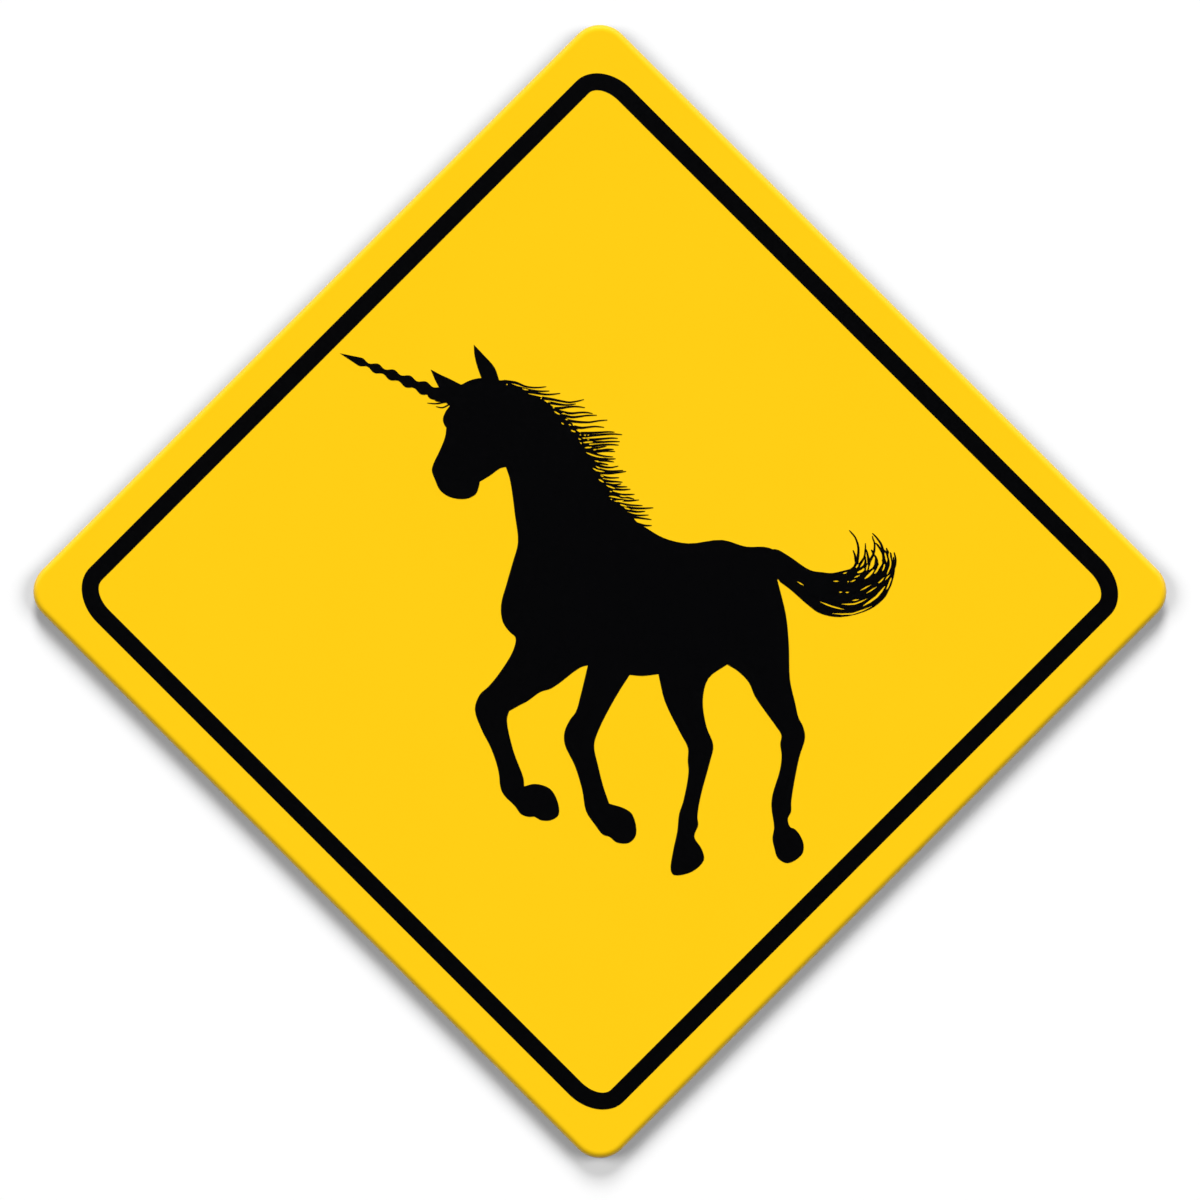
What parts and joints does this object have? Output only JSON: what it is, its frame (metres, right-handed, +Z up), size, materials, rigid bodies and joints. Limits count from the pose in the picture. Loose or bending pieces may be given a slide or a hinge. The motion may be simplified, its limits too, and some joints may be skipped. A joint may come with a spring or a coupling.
{
  "type": "novelty crossing sign",
  "caption": "Flat diamond-shaped crossing sign with rounded edges, printed with a border line and the silhouette of a trotting unicorn.",
  "frame": {"origin": "middle of the flat back face", "axes": "+Z up to the top corner, -Y out of the printed front, +X to the right seen from the front"},
  "size_m": [0.4214, 0.0031, 0.4214],
  "materials": {
    "yellow_plastic": "satin",
    "black_ink": "satin"
  },
  "bodies": {
    "root": {"panel": "yellow_plastic", "border_line": "black_ink", "unicorn_figure": "black_ink"}
  },
  "joints": []
}
